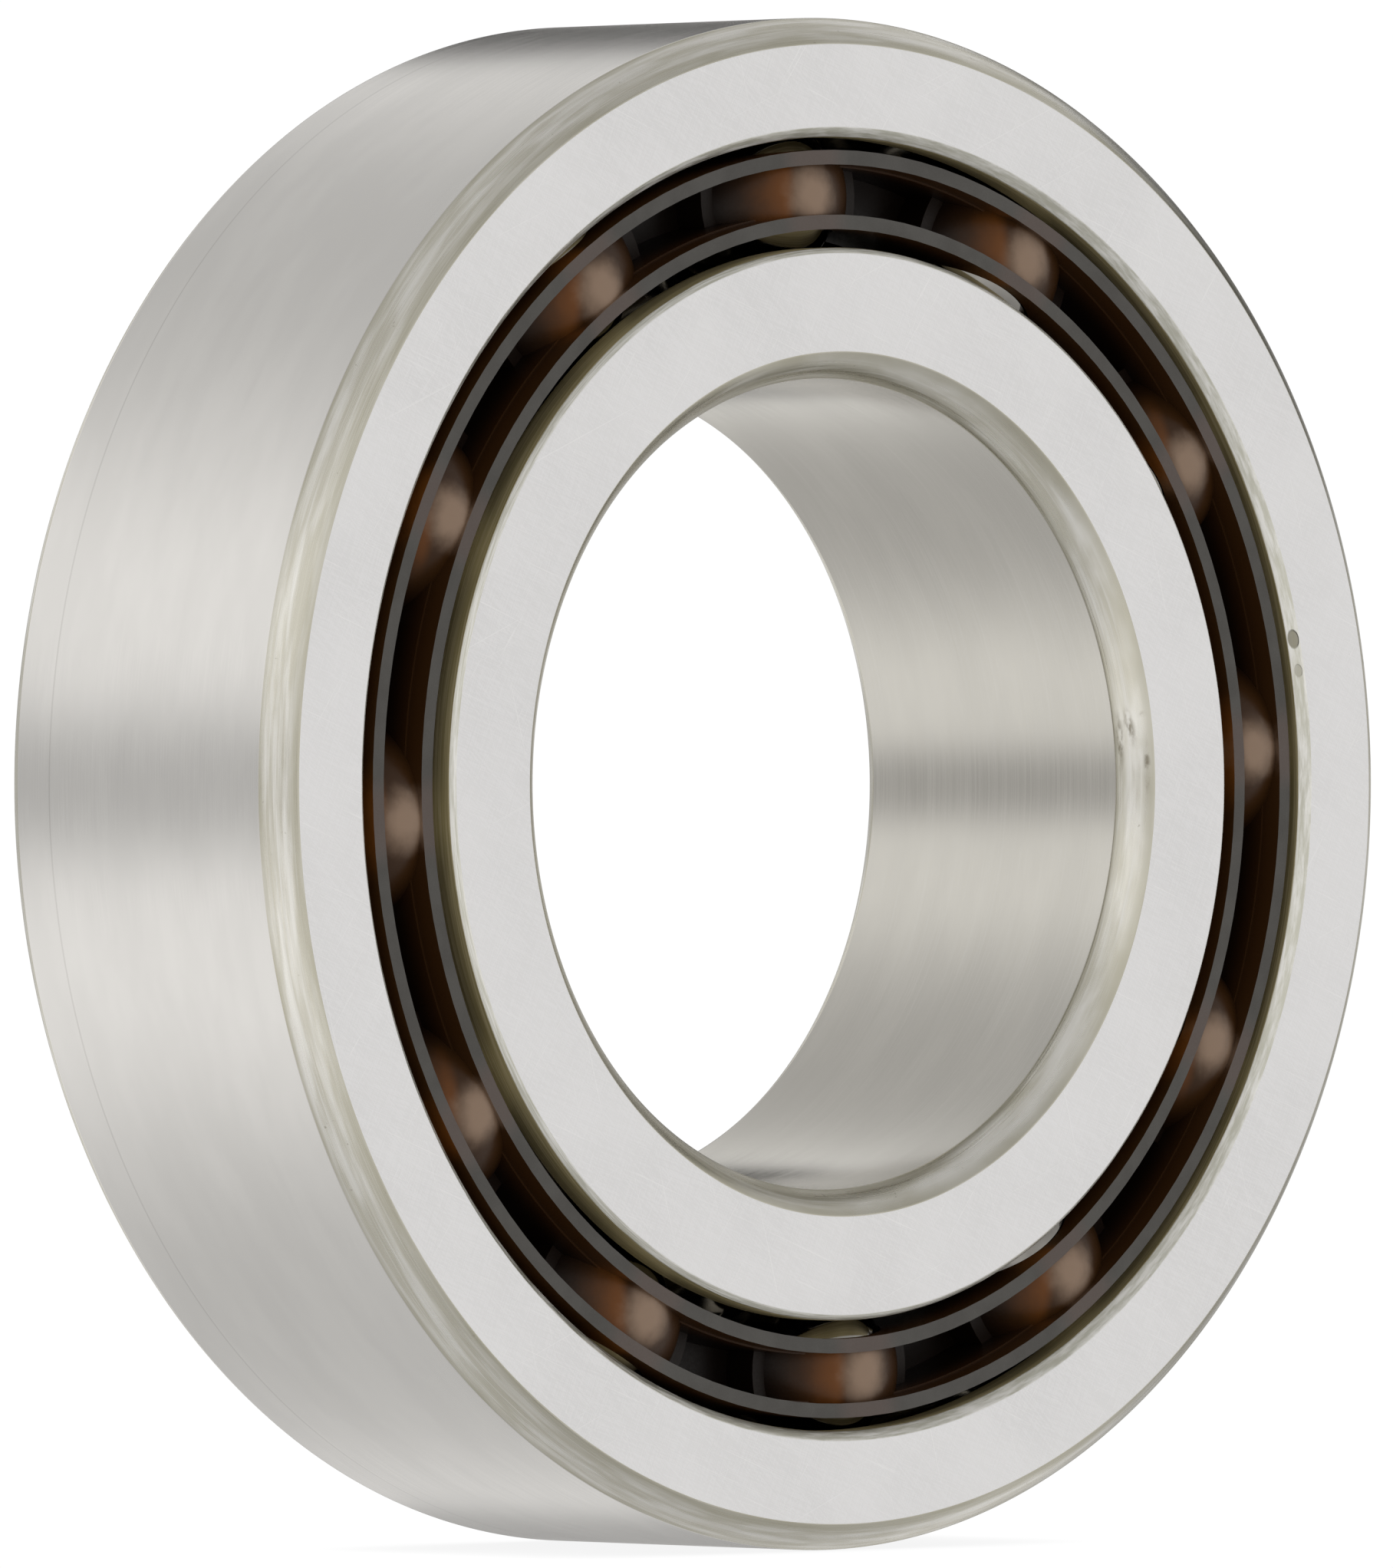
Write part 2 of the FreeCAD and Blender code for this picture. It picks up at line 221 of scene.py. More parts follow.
def off_ball(tree, place, first_angle):
    """How far a point is off the nearest ball's axis: round the ring, in all, and along X."""
    x, y, z = split(tree, place)
    radius = hypotenuse(tree, x, z)
    turn = work_out(tree, "SUBTRACT", work_out(tree, "ARCTAN2", z, x), first_angle)
    steps = work_out(tree, "WRAP", work_out(tree, "DIVIDE", turn, BALL_SPACING), 0.5, -0.5)
    swing = work_out(tree, "MULTIPLY", steps, BALL_SPACING)
    round_ring = work_out(tree, "MULTIPLY", radius, work_out(tree, "SINE", swing))
    outwards = work_out(
        tree, "SUBTRACT", work_out(tree, "MULTIPLY", radius, work_out(tree, "COSINE", swing)),
        PITCH / MM,
    )
    ball_angle = work_out(tree, "SUBTRACT", work_out(tree, "ARCTAN2", z, x), swing)
    ball_x = work_out(tree, "MULTIPLY", work_out(tree, "COSINE", ball_angle), PITCH / MM)
    return (
        work_out(tree, "ABSOLUTE", round_ring),
        hypotenuse(tree, round_ring, outwards),
        work_out(tree, "SUBTRACT", x, ball_x),
    )


def mark(tree, place, angle, along, length, width, lean=0.0, core=0.75):
    """An oval mark on a ring, at an angle from +X and a place along the axis.

    It is 1 over its core, a share of its length and width, and 0 outside.
    """
    x, y, z = split(tree, place)
    turn = work_out(tree, "SUBTRACT", work_out(tree, "ARCTAN2", z, x), angle)
    round_ring = work_out(tree, "MULTIPLY", turn, hypotenuse(tree, x, z))
    across = work_out(tree, "SUBTRACT", y, along)
    leaning = work_out(tree, "ADD", round_ring, work_out(tree, "MULTIPLY", across, lean))
    reach = hypotenuse(
        tree, work_out(tree, "DIVIDE", leaning, length), work_out(tree, "DIVIDE", across, width)
    )
    return spread(tree, reach, core, 1.0, 1.0, 0.0)


def relief(tree, height, depth, strength=1.0, below=None):
    """A surface normal from a height, where 1 is depth millimetres proud."""
    node = tree.nodes.new("ShaderNodeBump")
    feed(tree, node.inputs["Height"], height)
    feed(tree, node.inputs["Distance"], depth * MM)
    feed(tree, node.inputs["Strength"], strength)
    if below is not None:
        feed(tree, node.inputs["Normal"], below)
    return node.outputs["Normal"]


def finish(name, colour, roughness, normal=None, metallic=1.0, **constants):
    """A material, from functions that draw its colour, roughness and relief."""
    material = bpy.data.materials.new(name)
    material.use_nodes = True
    tree = material.node_tree
    shader = tree.nodes["Principled BSDF"]
    place = millimetres(tree)
    shader.inputs["Metallic"].default_value = metallic
    feed(tree, shader.inputs["Base Color"], colour(tree, place))
    feed(tree, shader.inputs["Roughness"], roughness(tree, place))
    if normal is not None:
        feed(tree, shader.inputs["Normal"], normal(tree, place))
    for socket, value in constants.items():
        shader.inputs[socket.replace("_", " ")].default_value = value
    return material


# -------------------------------------------------------------------- finishes

HAIRLINES = (
    # turn across the face, length and width in millimetres, how rare
    (0.35, 9.0, 0.10, 0.69),
    (1.30, 14.0, 0.09, 0.71),
    (2.20, 7.0, 0.08, 0.70),
    (2.75, 18.0, 0.10, 0.72),
)


def hairlines(tree, place):
    """Fine stray scratches on a ground face, 0 to 1."""
    total = None
    for turn, length, width, rare in HAIRLINES:
        lines = grain(tree, stretched(tree, place, turn, length, width), 1.0, 1.0)
        line = spread(tree, lines, rare, rare + 0.05)
        total = line if total is None else work_out(tree, "MAXIMUM", total, line)
    return total


FIBRES = (
    # turn across the face, length and width in millimetres
    (0.30, 2.2, 0.07),
    (0.75, 3.0, 0.09),
    (1.95, 1.6, 0.06),
)


def ground_face():
    """Faces ground flat: bright and even, with fine crossed fibres and stray scratches."""
    def fibres(tree, place):
        total = 0.0
        for turn, length, width in FIBRES:
            lines = grain(tree, stretched(tree, place, turn, length, width), 1.0, 2.0, 0.6)
            total = work_out(tree, "ADD", total, lines)
        return work_out(tree, "DIVIDE", total, len(FIBRES))

    def colour(tree, place):
        cloud = grain(tree, place, 0.12, 3.0)
        base = blended(
            tree, spread(tree, cloud, 0.3, 0.7),
            (0.78, 0.78, 0.785, 1), (0.83, 0.83, 0.835, 1),
        )
        fine = blended(
            tree, spread(tree, fibres(tree, place), 0.42, 0.60, 0.1, 0.6),
            base, (0.93, 0.93, 0.94, 1),
        )
        scratched = work_out(tree, "MULTIPLY", hairlines(tree, place), 0.35)
        return blended(tree, scratched, fine, (1, 1, 1, 1))

    def roughness(tree, place):
        return spread(tree, fibres(tree, place), 0.40, 0.62, 0.38, 0.50)

    def normal(tree, place):
        fine = relief(tree, fibres(tree, place), 0.006)
        return relief(tree, hairlines(tree, place), -0.003, 1.0, fine)

    return finish("ground_face_steel", colour, roughness, normal)


def ground_seat(name, tint, smooth, rough, wheel_line=None):
    """Seats ground round: satin, with very fine lines round the axis and faint stains.

    A wheel line is a faint line round the seat, millimetres behind the middle.
    """
    def lines(tree, place):
        return grain(tree, lathe_lines(tree, place, 14.0, 0.10), 1.0, 2.0)

    def colour(tree, place):
        stain = grain(tree, lathe_lines(tree, place, 9.0, 6.0), 1.0, 3.0, 0.55)
        low = tuple(0.95 * part for part in tint)
        base = blended(tree, spread(tree, stain, 0.35, 0.7), (*low, 1), (*tint, 1))
        streak = work_out(tree, "MULTIPLY", spread(tree, lines(tree, place), 0.4, 0.75), 0.06)
        streaked = blended(tree, streak, base, (1, 1, 1, 1))
        if wheel_line is None:
            return streaked
        behind = work_out(tree, "SUBTRACT", split(tree, place)[1], wheel_line)
        line = spread(tree, work_out(tree, "ABSOLUTE", behind), 0.02, 0.10, 0.22, 0.0)
        return blended(tree, line, streaked, (0.35, 0.34, 0.32, 1))

    def roughness(tree, place):
        return spread(tree, lines(tree, place), 0.3, 0.7, smooth, rough)

    def normal(tree, place):
        return relief(tree, lines(tree, place), 0.0008)

    return finish(name, colour, roughness, normal)


CORNER_STAINS = (
    # degrees from +X, millimetres behind the front face, length, width, lean
    (9.6, 0.30, 0.26, 0.20, 0.3),
    (8.0, 0.85, 1.30, 0.35, -1.6),
    (6.0, 1.35, 2.20, 0.30, 0.8),
    (2.6, 0.25, 1.80, 0.16, 0.4),
)


# Millimetres behind a face: where the olive tone at the face ends, and where the one
# at the seat starts.
OLIVE_AT_FACE = 0.55
OLIVE_AT_SEAT = 1.30


def turned_corner():
    """Mounting corners left as turned and hardened: long streaks, olive at both edges."""
    def marks(tree, place):
        return grain(tree, lathe_lines(tree, place, 9.0, 0.13), 1.0, 4.0, 0.6)

    def colour(tree, place):
        patch = grain(tree, lathe_lines(tree, place, 6.0, 0.9), 1.0, 3.0, 0.5, 0.2)
        base = blended(
            tree, spread(tree, patch, 0.35, 0.70),
            (0.70, 0.68, 0.59, 1), (0.93, 0.92, 0.87, 1),
        )
        streaky = blended(
            tree, spread(tree, marks(tree, place), 0.50, 0.72, 0.0, 0.55),
            base, (0.97, 0.96, 0.93, 1),
        )
        from_middle = work_out(tree, "ABSOLUTE", split(tree, place)[1])
        edge = HALF_WIDTH / MM
        olive = work_out(
            tree, "MAXIMUM",
            spread(tree, from_middle, edge - OLIVE_AT_FACE, edge, 0.0, 0.60),
            spread(tree, from_middle, edge - CORNER_AXIAL / MM, edge - OLIVE_AT_SEAT, 0.55, 0.0),
        )
        toned = blended(tree, olive, streaky, (0.46, 0.44, 0.34, 1))
        rubbed = grain(tree, lathe_lines(tree, place, 0.9, 0.25), 1.0, 3.0, 0.6)
        dirt = spread(tree, grain(tree, place, 1.6, 3.0, 0.6), 0.70, 0.78, 0.0, 0.5)
        for degrees, behind, length, width, lean in CORNER_STAINS:
            stain = mark(
                tree, place, math.radians(degrees), behind - edge, length, width, lean, 0.1
            )
            ragged = work_out(tree, "MULTIPLY", stain, spread(tree, rubbed, 0.38, 0.60, 0.05, 0.75))
            dirt = work_out(tree, "MAXIMUM", dirt, ragged)
        return blended(tree, dirt, toned, (0.20, 0.17, 0.11, 1))

    def roughness(tree, place):
        return spread(tree, marks(tree, place), 0.3, 0.7, 0.24, 0.38)

    def normal(tree, place):
        return relief(tree, marks(tree, place), 0.012)

    return finish("turned_corner_steel", colour, roughness, normal)


def turned_land():
    """Shoulders beside the raceways: turned, hardened, with an oily straw colour."""
    def marks(tree, place):
        return grain(tree, lathe_lines(tree, place, 8.0, 0.15), 1.0, 3.0, 0.5)

    def colour(tree, place):
        return blended(
            tree, spread(tree, marks(tree, place), 0.35, 0.7),
            (0.50, 0.42, 0.20, 1), (0.70, 0.61, 0.36, 1),
        )

    def roughness(tree, place):
        return spread(tree, marks(tree, place), 0.3, 0.7, 0.44, 0.58)

    def normal(tree, place):
        return relief(tree, marks(tree, place), 0.006)

    return finish("turned_land_steel", colour, roughness, normal, metallic=0.6)


CHAMFER_NICKS = (
    # degrees from +X, millimetres behind the front face, length, width, depth of tone
    (13.1, 0.27, 0.60, 0.25, 0.85),
    (10.2, 0.25, 0.42, 0.18, 0.40),
)


def broken_edge():
    """The chamfers where a land meets its face: pale, with chatter and two small nicks."""
    def chatter(tree, place):
        return grain(tree, lathe_lines(tree, place, 2.6, 0.15), 1.0, 4.0, 0.65)

    def nicks(tree, place):
        total = 0.0
        for degrees, behind, length, width, tone in CHAMFER_NICKS:
            nick = mark(
                tree, place, math.radians(degrees), behind - HALF_WIDTH / MM, length, width
            )
            total = work_out(tree, "ADD", total, work_out(tree, "MULTIPLY", nick, tone))
        return total

    def colour(tree, place):
        pale = blended(
            tree, spread(tree, chatter(tree, place), 0.35, 0.68),
            (0.66, 0.655, 0.57, 1), (0.98, 0.975, 0.94, 1),
        )
        return blended(tree, nicks(tree, place), pale, (0.30, 0.28, 0.21, 1))

    def roughness(tree, place):
        return spread(tree, chatter(tree, place), 0.3, 0.7, 0.35, 0.5)

    def normal(tree, place):
        rough = relief(tree, chatter(tree, place), 0.012)
        return relief(tree, nicks(tree, place), -0.06, 1.0, rough)

    return finish("chamfer_steel", colour, roughness, normal)


def honed_raceway():
    """Raceways honed for the balls, filmed with oil."""
    def lines(tree, place):
        return grain(tree, lathe_lines(tree, place, 20.0, 0.08), 1.0, 2.0)

    def colour(tree, place):
        return blended(
            tree, lines(tree, place), (0.56, 0.52, 0.44, 1), (0.68, 0.64, 0.56, 1)
        )

    def roughness(tree, place):
        return spread(tree, lines(tree, place), 0.3, 0.7, 0.10, 0.18)

    return finish("honed_raceway_steel", colour, roughness)


def ball_steel():
    """Lapped balls. Their dark colour is painted shade, for balls seen deep inside the cage."""
    def ball_mottle(tree, place):
        return grain(tree, place, 0.35, 3.0, 0.55)

    def colour(tree, place):
        # Painted shade: the base colour stays dark, 0.25 to 0.34, for balls deep in the cage.
        return blended(
            tree, spread(tree, ball_mottle(tree, place), 0.3, 0.7),
            (0.25, 0.24, 0.22, 1), (0.34, 0.33, 0.31, 1),
        )

    def roughness(tree, place):
        return spread(tree, ball_mottle(tree, place), 0.3, 0.7, 0.06, 0.11)

    return finish("lapped_ball_steel", colour, roughness)


def moulded_skin(tree, place):
    """The fine grain of a moulding."""
    return grain(tree, place, 7.0, 4.0, 0.6)


# Millimetres behind the cage's front: where the painted shade is deepest and no painted glow is left,
# where the painted glow is whole, and where the body is at its warmest, with no painted shade.
DEEPEST_SHADE_BEHIND = 3.4
GLOW_BEHIND = 2.2
UNSHADED_BEHIND = 0.6
# Millimetres from a ball's axis, where a painted glow's tone starts to fade and where it has gone. The
# flank's are along X.
TAN_GLOW_REACH = (0.5, 2.3)
AMBER_GLOW_REACH = (1.8, 4.4)
AMBER_GLOW_FLANK = (-1.9, -1.0)


def cage_polyamide(name, first_angle):
    """Moulded brown polyamide, with painted shade and painted glow. It darkens deeper in the channel as
    painted shade; over a ball it is thin, and a tan glow is painted there, with an amber one on the ball's
    -X side.
    """
    def colour(tree, place):
        along = work_out(tree, "ABSOLUTE", split(tree, place)[1])
        front = CAGE_FRONT / MM
        # Painted shade: the body is darker the deeper it lies behind the front.
        body = blended(
            tree, spread(tree, along, front - DEEPEST_SHADE_BEHIND, front - UNSHADED_BEHIND),
            (0.008, 0.0038, 0.0020, 1), (0.042, 0.017, 0.0045, 1),
        )
        _, off_axis, aside = off_ball(tree, place, first_angle)
        wander = spread(tree, grain(tree, place, 0.9, 3.0), 0.3, 0.7, -0.15, 0.15)
        uneven = work_out(tree, "ADD", off_axis, wander)
        # Painted glow: tan over each ball and amber on its -X side, fading deeper behind the front.
        in_front = spread(tree, along, front - DEEPEST_SHADE_BEHIND, front - GLOW_BEHIND)
        flank = spread(tree, aside, *AMBER_GLOW_FLANK, 1.0, 0.0)
        amber_glow = work_out(
            tree, "MULTIPLY", work_out(tree, "MULTIPLY", flank, in_front),
            spread(tree, uneven, *AMBER_GLOW_REACH, 1.0, 0.0),
        )
        tan_glow = work_out(tree, "MULTIPLY", spread(tree, uneven, *TAN_GLOW_REACH, 1.0, 0.0), in_front)
        glowing = blended(tree, amber_glow, body, (0.15, 0.050, 0.008, 1))
        return blended(tree, tan_glow, glowing, (0.29, 0.20, 0.14, 1))

    def roughness(tree, place):
        return spread(tree, moulded_skin(tree, place), 0.3, 0.7, 0.30, 0.42)

    def normal(tree, place):
        return relief(tree, moulded_skin(tree, place), 0.004)

    return finish(name, colour, roughness, normal, metallic=0.0, Specular_IOR_Level=0.22)


def rim_polyamide(name, first_angle):
    """The matt grey ends of a cage's rims, with a painted warm glow beside the domes."""
    def colour(tree, place):
        flow = grain(tree, place, 0.5, 3.0)
        grey = blended(
            tree, spread(tree, flow, 0.3, 0.7),
            (0.062, 0.058, 0.052, 1), (0.078, 0.074, 0.067, 1),
        )
        speckled = blended(
            tree, spread(tree, moulded_skin(tree, place), 0.55, 0.8, 0.0, 0.5),
            grey, (0.12, 0.112, 0.10, 1),
        )
        # Painted glow: the rim turns warmer within 2.8 mm of a ball's axis, beside its dome.
        round_ring = off_ball(tree, place, first_angle)[0]
        return blended(
            tree, spread(tree, round_ring, 1.0, 2.8, 0.65, 0.0), speckled, (0.115, 0.082, 0.070, 1)
        )

    def roughness(tree, place):
        return spread(tree, moulded_skin(tree, place), 0.3, 0.7, 0.50, 0.65)

    def normal(tree, place):
        return relief(tree, moulded_skin(tree, place), 0.008)

    return finish(name, colour, roughness, normal, metallic=0.0)


# ----------------------------------------------------------------------- rings

def trace(bm, corners):
    """Edges round a closed outline, anticlockwise: X is the radius and Y the axis.

    A corner is (radius, along, curve). Curve is the radius of the arc that leads on to
    the next corner, less than zero where the arc is hollow, or None for a straight line.
    """
    vert = bm.verts.new((corners[0][0], corners[0][1], 0))
    for (x, y, curve), (next_x, next_y, _) in zip(corners, corners[1:] + corners[:1]):
        start, end = Vector((x, y, 0)), Vector((next_x, next_y, 0))
        if curve is None:
            vert = bmesh.ops.extrude_vert_indiv(bm, verts=[vert])["verts"][0]
            vert.co = end
        else:
            chord = end - start
            half = chord.length / 2
            left = Vector((-chord.y, chord.x, 0)).normalized()
            side = math.copysign(1, curve)
            centre = (start + end) / 2 + side * left * math.sqrt(curve ** 2 - half ** 2)
            turned = bmesh.ops.spin(
                bm, geom=[vert], cent=centre, axis=(0, 0, 1), steps=ARC_STEPS,
                angle=side * 2 * math.asin(half / abs(curve)),
            )
            vert = next(item for item in turned["geom_last"] if isinstance(item, bmesh.types.BMVert))
    bmesh.ops.remove_doubles(bm, verts=bm.verts[:], dist=HAIR)


def turn_ring(name, body, corners, finishes, finish_of):
    """A ring turned from its outline, with its edges broken and its finishes laid on."""
    bm = bmesh.new()
    trace(bm, corners)
    bmesh.ops.spin(
        bm, geom=bm.verts[:] + bm.edges[:], cent=(0, 0, 0), axis=(0, 1, 0),
        angle=2 * math.pi, steps=RING_STEPS, use_merge=True,
    )
    bmesh.ops.remove_doubles(bm, verts=bm.verts[:], dist=HAIR)
    bmesh.ops.recalc_face_normals(bm, faces=bm.faces[:])
    crisp = [edge for edge in bm.edges if edge.calc_face_angle(0) > CRISP_ANGLE]
    for face in bm.faces:
        middle = face.calc_center_median()
        face.material_index = finish_of(math.hypot(middle.x, middle.z), abs(middle.y))
    bmesh.ops.bevel(
        bm, geom=crisp, offset=EDGE_BREAK, segments=2, affect="EDGES", profile=0.5,
        material=-1,
    )
    return finished(bm, name, body, finishes)


def finished(bm, node, body, finishes):
    """The object of a bmesh that stands for a CAD node and rides on a body."""
    mesh = bpy.data.meshes.new(f"{node}_finished")
    bm.to_mesh(mesh)
    bm.free()
    mesh.shade_smooth()
    for material in finishes:
        mesh.materials.append(material)
    piece = bpy.data.objects.new(f"{node}_finished", mesh)
    bpy.context.scene.collection.objects.link(piece)
    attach(piece, body)
    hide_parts(node)
    return piece


def even_shading(piece):
    """Keeps flat faces flat beside their rounded edges."""
    shading = piece.modifiers.new("even_shading", "WEIGHTED_NORMAL")
    shading.weight = 50
    shading.keep_sharp = True


def raceway_edges(land, centre_radius, centre_along):
    """Where a raceway's circle meets the land, from the middle outwards."""
    reach = math.sqrt(GROOVE ** 2 - (land - centre_radius) ** 2)
    return centre_along - reach, centre_along + reach


def outer_ring_outline():
    near, far = raceway_edges(
        OUTER_LAND, PITCH - GROOVE_OFFSET * math.cos(CONTACT_ANGLE),
        ROW + GROOVE_OFFSET * math.sin(CONTACT_ANGLE),
    )
    return [
        (OUTER_LAND + OUTER_CHAMFER, -HALF_WIDTH, None),
        (OUTSIDE - CORNER_RADIAL, -HALF_WIDTH, CORNER_CURVE),
        (OUTSIDE, -HALF_WIDTH + CORNER_AXIAL, None),
        (OUTSIDE, HALF_WIDTH - CORNER_AXIAL, CORNER_CURVE),
        (OUTSIDE - CORNER_RADIAL, HALF_WIDTH, None),
        (OUTER_LAND + OUTER_CHAMFER, HALF_WIDTH, None),
        (OUTER_LAND, HALF_WIDTH - OUTER_CHAMFER, None),
        (OUTER_LAND, far, -GROOVE),
        (OUTER_LAND, near, None),
        (OUTER_LAND, -near, -GROOVE),
        (OUTER_LAND, -far, None),
        (OUTER_LAND, -HALF_WIDTH + OUTER_CHAMFER, None),
    ]


def inner_ring_outline():
    near, far = raceway_edges(
        INNER_LAND, PITCH + GROOVE_OFFSET * math.cos(CONTACT_ANGLE),
        ROW - GROOVE_OFFSET * math.sin(CONTACT_ANGLE),
    )
    return [
        (BORE + CORNER_RADIAL, -HALF_WIDTH, None),
        (INNER_LAND - INNER_CHAMFER, -HALF_WIDTH, None),
        (INNER_LAND, -HALF_WIDTH + INNER_CHAMFER, None),
        (INNER_LAND, -far, -GROOVE),
        (INNER_LAND, -near, None),
        (INNER_LAND, near, -GROOVE),
        (INNER_LAND, far, None),
        (INNER_LAND, HALF_WIDTH - INNER_CHAMFER, None),
        (INNER_LAND - INNER_CHAMFER, HALF_WIDTH, None),
        (BORE + CORNER_RADIAL, HALF_WIDTH, CORNER_CURVE),
        (BORE, HALF_WIDTH - CORNER_AXIAL, None),
        (BORE, -HALF_WIDTH + CORNER_AXIAL, CORNER_CURVE),
    ]


FACE, SEAT, CORNER, LAND, CHAMFER, RACEWAY = range(6)


def outer_finish(radius, along):
    if along > HALF_WIDTH - HAIR:
        return FACE
    if radius > OUTSIDE - CORNER_RADIAL:
        return CORNER if along > HALF_WIDTH - CORNER_AXIAL else SEAT
    if radius > OUTER_LAND + HAIR:
        return CHAMFER if along > HALF_WIDTH - OUTER_CHAMFER else RACEWAY
    return LAND


def inner_finish(radius, along):
    if along > HALF_WIDTH - HAIR:
        return FACE
    if radius < BORE + CORNER_RADIAL:
        return CORNER if along > HALF_WIDTH - CORNER_AXIAL else SEAT
    if radius < INNER_LAND - HAIR:
        return CHAMFER if along > HALF_WIDTH - INNER_CHAMFER else RACEWAY
    return LAND


# Millimetres behind the middle, where the outside seat has a faint line.
WHEEL_LINE = 7.2


def make_rings():
    shared = [turned_corner(), turned_land(), broken_edge(), honed_raceway()]
    face = ground_face()
    outside_seat = ground_seat("outside_seat_steel", (0.80, 0.79, 0.77), 0.20, 0.27, WHEEL_LINE)
    bore_seat = ground_seat("bore_seat_steel", (0.64, 0.625, 0.58), 0.17, 0.24)
    for name, outline, seat, finish_of in (
        ("outer_ring", outer_ring_outline(), outside_seat, outer_finish),
        ("inner_ring", inner_ring_outline(), bore_seat, inner_finish),
    ):
        ring = turn_ring(name, name, outline, [face, seat, *shared], finish_of)
        even_shading(ring)


# -------------------------------------------------------------- balls and cages

BALL_SUBDIVISIONS = 5


def make_balls():
    steel = ball_steel()
    for node in sorted(frame["nodes"]):
        if "_ball_" in node:
            low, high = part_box(node)
            bm = bmesh.new()
            bmesh.ops.create_icosphere(
                bm, subdivisions=BALL_SUBDIVISIONS, radius=BALL, matrix=Matrix.Translation((low + high) / 2)
            )
            finished(bm, node, node, [steel])


BODY, RIM = range(2)


def make_cages():
    for side in ("front", "rear"):
        node = f"{side}_cage"
        low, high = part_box(f"{side}_ball_01")
        first = (low + high) / 2
        first_angle = math.atan2(first.z, first.x)
        bm = bmesh.new()
        bm.from_mesh(frame["nodes"][node].data)
        bmesh.ops.remove_doubles(bm, verts=bm.verts[:], dist=HAIR)
        for edge in bm.edges:
            edge.smooth = edge.calc_face_angle(0) < CAGE_CRISP_ANGLE
        for face in bm.faces:
            at_front = all(abs(vert.co.y) > CAGE_FRONT - HAIR for vert in face.verts)
            face.material_index = RIM if at_front else BODY
        cage = finished(bm, node, node, [
            cage_polyamide(f"{side}_cage_polyamide", first_angle),
            rim_polyamide(f"{side}_rim_polyamide", first_angle),
        ])


# ------------------------------------------------------------ room and lighting

VIEW_AZIMUTH = math.radians(-43.33)
VIEW_DISTANCE = 1.1676
VIEW_ASIDE = 0.008343
LENS = 483.6
FLOOR_REACH = 3.0


def make_camera():
    """The camera looks level at the front face, a little to its left."""
    forward = Vector((-math.sin(VIEW_AZIMUTH), math.cos(VIEW_AZIMUTH), 0))
    aside = Vector((forward.y, -forward.x, 0))
    lens = bpy.data.cameras.new("camera")
    lens.lens = LENS
    lens.sensor_width = 36
    lens.clip_start = 0.1
    lens.clip_end = 10
    camera = bpy.data.objects.new("camera", lens)
    face_centre = Vector((0, cad_low.y, 0))
    camera.location = face_centre - VIEW_DISTANCE * forward - VIEW_ASIDE * aside
    camera.rotation_mode = "QUATERNION"
    camera.rotation_quaternion = forward.to_track_quat("-Z", "Y")
    bpy.context.scene.collection.objects.link(camera)
    bpy.context.scene.camera = camera


def glowing_white():
    """A pale sheet that lights itself, with a painted contact shadow close under the bearing."""
    material = bpy.data.materials.new("pale_paper")
    material.use_nodes = True
    tree = material.node_tree
    tree.nodes.remove(tree.nodes["Principled BSDF"])
    glow = tree.nodes.new("ShaderNodeEmission")
    contact_shadow = tree.nodes.new("ShaderNodeAmbientOcclusion")
    contact_shadow.samples = 8
    contact_shadow.inputs["Distance"].default_value = 6 * MM
    # Painted shadow: the sheet's glow dims where the bearing is close above it.
    feed(tree, glow.inputs["Strength"], spread(tree, contact_shadow.outputs["AO"], 0.0, 1.0, 0.90, 1.02))
    tree.links.new(glow.outputs["Emission"], tree.nodes["Material Output"].inputs["Surface"])
    return material


def make_room():
    """A floor that runs into a round backdrop. Only the camera sees them."""
    paper = glowing_white()
    floor = bmesh.new()
    bmesh.ops.create_circle(
        floor, cap_ends=True, segments=96, radius=FLOOR_REACH,
        matrix=Matrix.Translation((0, 0, cad_low.z)),
    )
    backdrop = bmesh.new()
    bmesh.ops.create_uvsphere(backdrop, u_segments=48, v_segments=24, radius=FLOOR_REACH)
    for name, bm in (("floor", floor), ("backdrop", backdrop)):
        mesh = bpy.data.meshes.new(name)
        bm.to_mesh(mesh)
        bm.free()
        mesh.materials.append(paper)
        sheet = bpy.data.objects.new(name, mesh)
        bpy.context.scene.collection.objects.link(sheet)
        for ray in ("diffuse", "glossy", "transmission", "shadow", "volume_scatter"):
            setattr(sheet, f"visible_{ray}", False)


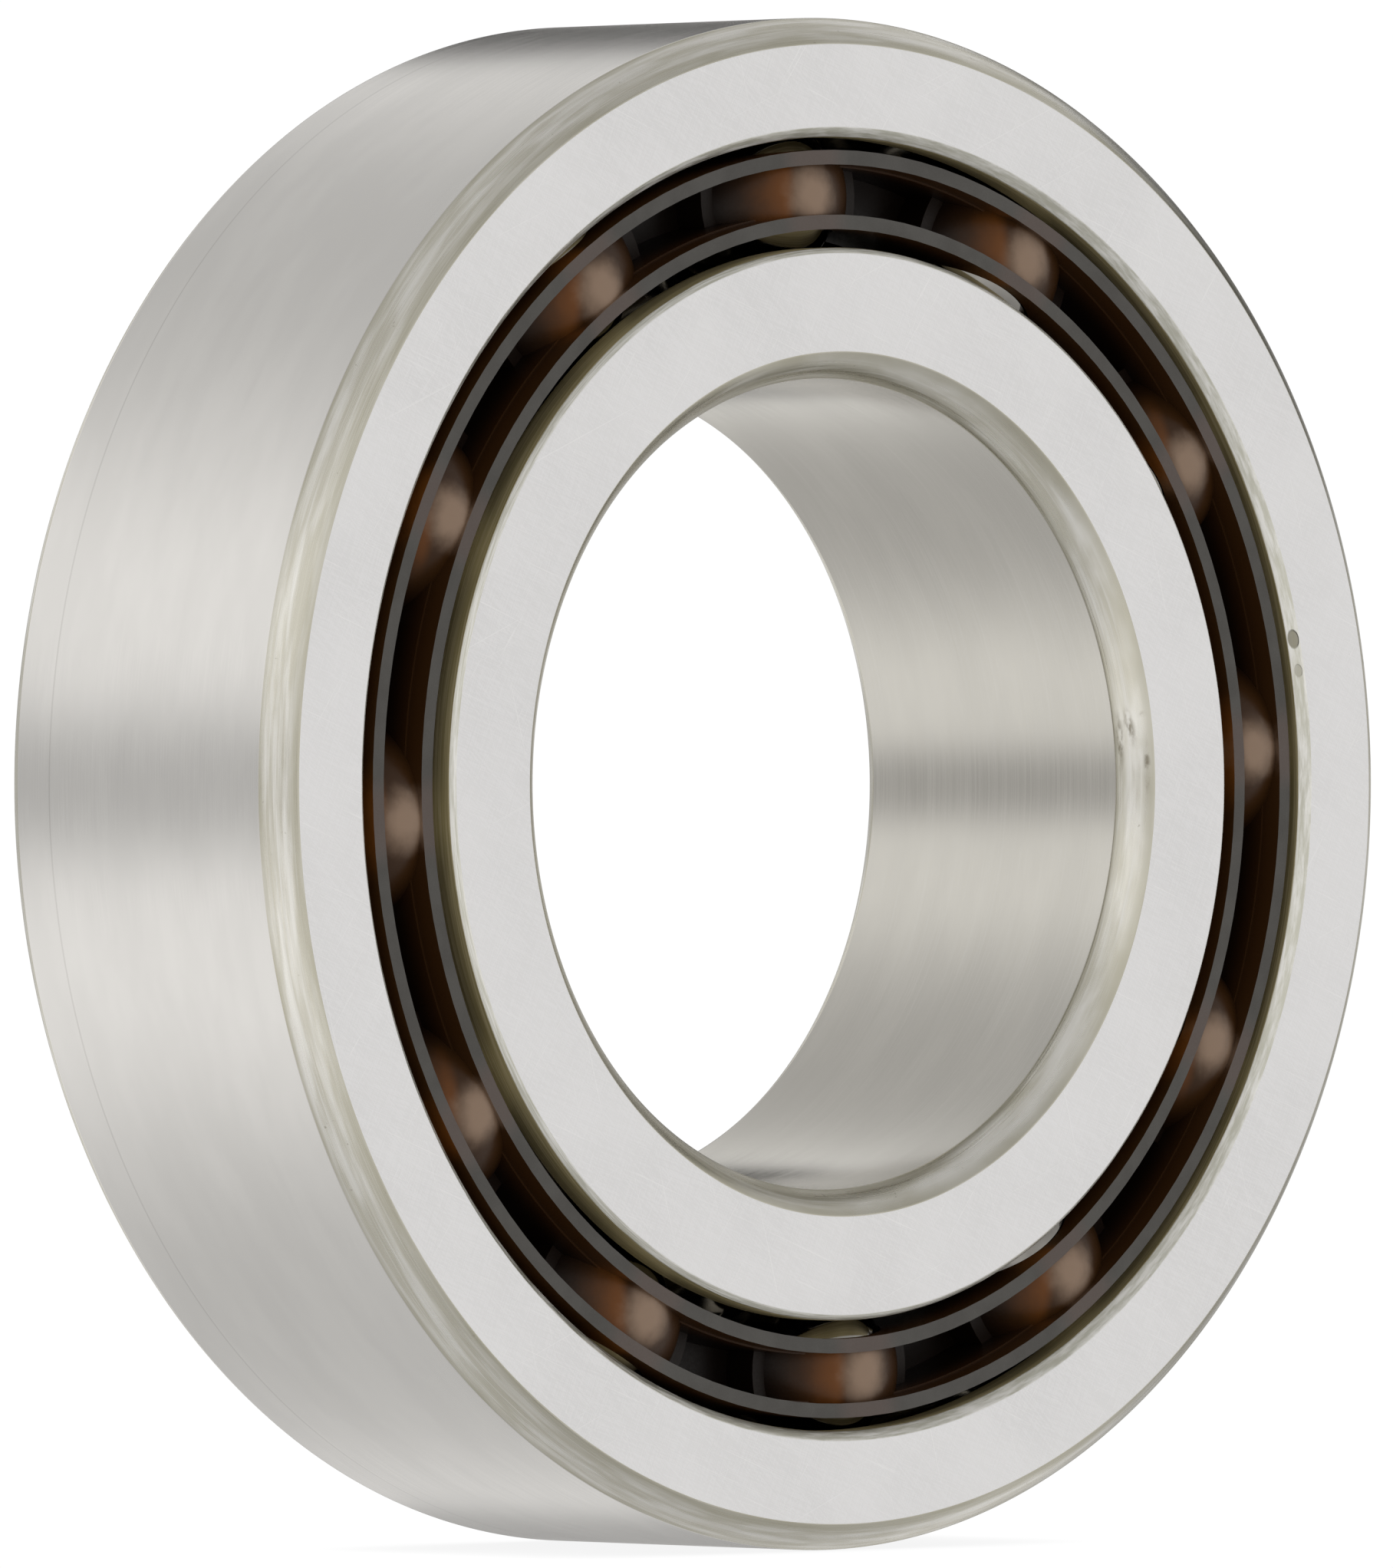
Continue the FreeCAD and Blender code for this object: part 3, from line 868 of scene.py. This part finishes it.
def facing(tree, x, y, heading, half, soft):
    """1 within half degrees of a heading, from +Y towards +X, and 0 past the soft edge."""
    angle = math.radians(heading)
    towards = work_out(
        tree, "ADD", work_out(tree, "MULTIPLY", x, math.sin(angle)),
        work_out(tree, "MULTIPLY", y, math.cos(angle)),
    )
    level = work_out(tree, "MAXIMUM", hypotenuse(tree, x, y), 0.001)
    off = work_out(tree, "ARCCOSINE", work_out(tree, "DIVIDE", towards, level))
    return spread(tree, off, math.radians(half), math.radians(half + soft), 1.0, 0.0)


# Parts of the tent by heading, half width and soft edge, all in degrees.
SEAM = (-62, 92, 14)
FRONT_WALL = (135, 50, 14)
DARK_SIDE = (62, 32, 8)


def make_light():
    """A light tent: bright walls, a dark seam at the horizon and one dark side behind."""
    world = bpy.data.worlds.new("light_tent")
    bpy.context.scene.world = world
    world.use_nodes = True
    tree = world.node_tree
    direction = tree.nodes.new("ShaderNodeTexCoord").outputs["Generated"]
    x, y, z = split(tree, direction)
    height = work_out(tree, "ABSOLUTE", z)
    seam = work_out(
        tree, "MULTIPLY", facing(tree, x, y, *SEAM), spread(tree, height, 0.03, 0.20, 0.50, 0.0)
    )
    crown = spread(tree, height, 0.35, 0.75, 0.94, 0.52)
    walls = work_out(tree, "MULTIPLY", crown, work_out(tree, "SUBTRACT", 1.0, seam))
    front_wall = work_out(tree, "MULTIPLY", facing(tree, x, y, *FRONT_WALL), 0.12)
    dark_side = work_out(
        tree, "MULTIPLY", facing(tree, x, y, *DARK_SIDE), spread(tree, height, 0.36, 0.44, 1.0, 0.0)
    )
    above_seam = work_out(tree, "MULTIPLY", dark_side, spread(tree, height, 0.04, 0.18, 0.35, 1.0))
    shade = work_out(tree, "MULTIPLY", above_seam, spread(tree, z, -0.22, 0.0, 0.60, 0.95))
    dimmed = work_out(tree, "MULTIPLY", walls, work_out(tree, "SUBTRACT", 1.0, front_wall))
    strength = work_out(tree, "MULTIPLY", dimmed, work_out(tree, "SUBTRACT", 1.0, shade))
    background = tree.nodes["Background"]
    feed(tree, background.inputs["Color"], (1.0, 0.985, 0.965, 1))
    feed(tree, background.inputs["Strength"], strength)
    bpy.context.scene.view_settings.view_transform = "Standard"


make_camera()
make_rings()
make_cages()
make_balls()
make_room()
make_light()

bpy.context.view_layer.update()
